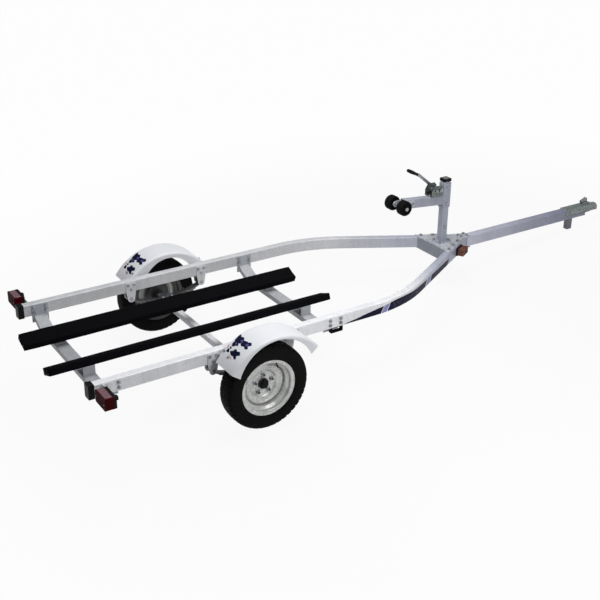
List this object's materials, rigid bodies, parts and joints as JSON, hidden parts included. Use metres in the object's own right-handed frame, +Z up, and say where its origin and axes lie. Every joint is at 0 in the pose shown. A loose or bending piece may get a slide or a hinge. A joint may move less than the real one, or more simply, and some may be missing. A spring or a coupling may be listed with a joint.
{
  "type": "boat trailer",
  "caption": "Galvanised single-axle boat trailer: carpeted bunks, leaf springs, round fenders, winch post with bow rollers, coupler, parked on its front foot.",
  "frame": {"origin": "centre of the bounding box at floor level, with the trailer parked nose down on its wheels and front foot", "axes": "+X runs forward to the coupler, +Y to the trailer's left and +Z up from the floor"},
  "size_m": [4.4714, 1.57, 0.8215],
  "materials": {
    "galvanised": "spangled hot-dip zinc, satin",
    "zinc_hardware": "zinc plated, satin",
    "spring_steel": "dark, dusty",
    "bare_bright_steel": "turned, satin",
    "black_paint": "painted cast hub, satin",
    "rim_steel": "galvanised, satin",
    "tyre_rubber": "matt",
    "fender_plastic": "moulded, semi-gloss",
    "black_plastic": "moulded, matt",
    "red_lens": "ribbed lens, gloss",
    "amber_lens": "ribbed lens, gloss",
    "black_carpet": "looped carpet on timber",
    "black_rubber": "matt",
    "coupler_steel": "zinc plated, grey-green"
  },
  "bodies": {
    "frame": {"axle_beam": "galvanised", "axle_ubolts": "zinc_hardware", "bow_arm": "galvanised", "bunk_brackets": "galvanised", "bunk_left": "black_carpet", "bunk_right": "black_carpet", "coupler_body": "coupler_steel", "coupler_latch": "coupler_steel", "crossmember_front": "galvanised", "crossmember_plates": "galvanised", "crossmember_rear": "galvanised", "fender_brackets": "galvanised", "fender_left": "fender_plastic", "fender_right": "fender_plastic", "lamp_bases": "black_plastic", "lamp_brackets": "galvanised", "lamp_lenses": "red_lens", "neck_beam": "galvanised", "neck_plates": "galvanised", "post_cap": "black_plastic", "rail_end_caps": "black_plastic", "rail_left": "galvanised", "rail_right": "galvanised", "roller_axle": "zinc_hardware", "roller_yoke": "galvanised", "side_marker_bases": "black_plastic", "side_marker_lenses": "amber_lens", "spindles": "bare_bright_steel", "spring_hangers_left": "galvanised", "spring_hangers_right": "galvanised", "spring_left": "spring_steel", "spring_pins": "zinc_hardware", "spring_plates": "zinc_hardware", "spring_right": "spring_steel", "strap_loops": "black_rubber", "tongue_foot": "galvanised", "tongue_tube": "galvanised", "winch_frame": "zinc_hardware", "winch_pawl": "zinc_hardware", "winch_post": "galvanised"},
    "wheel_left": {"tyre_left": "tyre_rubber", "rim_left": "rim_steel", "hub_left": "black_paint", "wheel_nuts_left": "zinc_hardware", "hub_cap_left": "black_plastic"},
    "wheel_right": {"tyre_right": "tyre_rubber", "rim_right": "rim_steel", "hub_right": "black_paint", "wheel_nuts_right": "zinc_hardware", "hub_cap_right": "black_plastic"},
    "bow_roller_left": {"bow_roller_left": "black_rubber"},
    "bow_roller_right": {"bow_roller_right": "black_rubber"},
    "drum": {"winch_drum": "zinc_hardware"},
    "crank": {"winch_crank": "zinc_hardware", "crank_grip": "black_plastic"}
  },
  "joints": [
    {"name": "wheel_left_spin", "type": "hinge", "parent": "frame", "child": "wheel_left", "pos_m": [-1.17991, 0.705, 0.26], "axis": [0, 1, 0], "continuous": true},
    {"name": "wheel_right_spin", "type": "hinge", "parent": "frame", "child": "wheel_right", "pos_m": [-1.17991, -0.705, 0.26], "axis": [0, 1, 0], "continuous": true},
    {"name": "bow_roller_left_spin", "type": "hinge", "parent": "frame", "child": "bow_roller_left", "pos_m": [0.33375, 0.06, 0.67393], "axis": [0, 1, 0], "continuous": true},
    {"name": "bow_roller_right_spin", "type": "hinge", "parent": "frame", "child": "bow_roller_right", "pos_m": [0.33375, -0.06, 0.67393], "axis": [0, 1, 0], "continuous": true},
    {"name": "drum_spin", "type": "hinge", "parent": "frame", "child": "drum", "pos_m": [0.63338, 0, 0.69994], "axis": [0, 1, 0], "continuous": true},
    {"name": "crank_spin", "type": "hinge", "parent": "frame", "child": "crank", "pos_m": [0.67069, 0, 0.69617], "axis": [0, 1, 0], "continuous": true}
  ],
  "couplings": [
    {"joint": "crank_spin", "follows": "drum_spin", "ratio": -4}
  ]
}
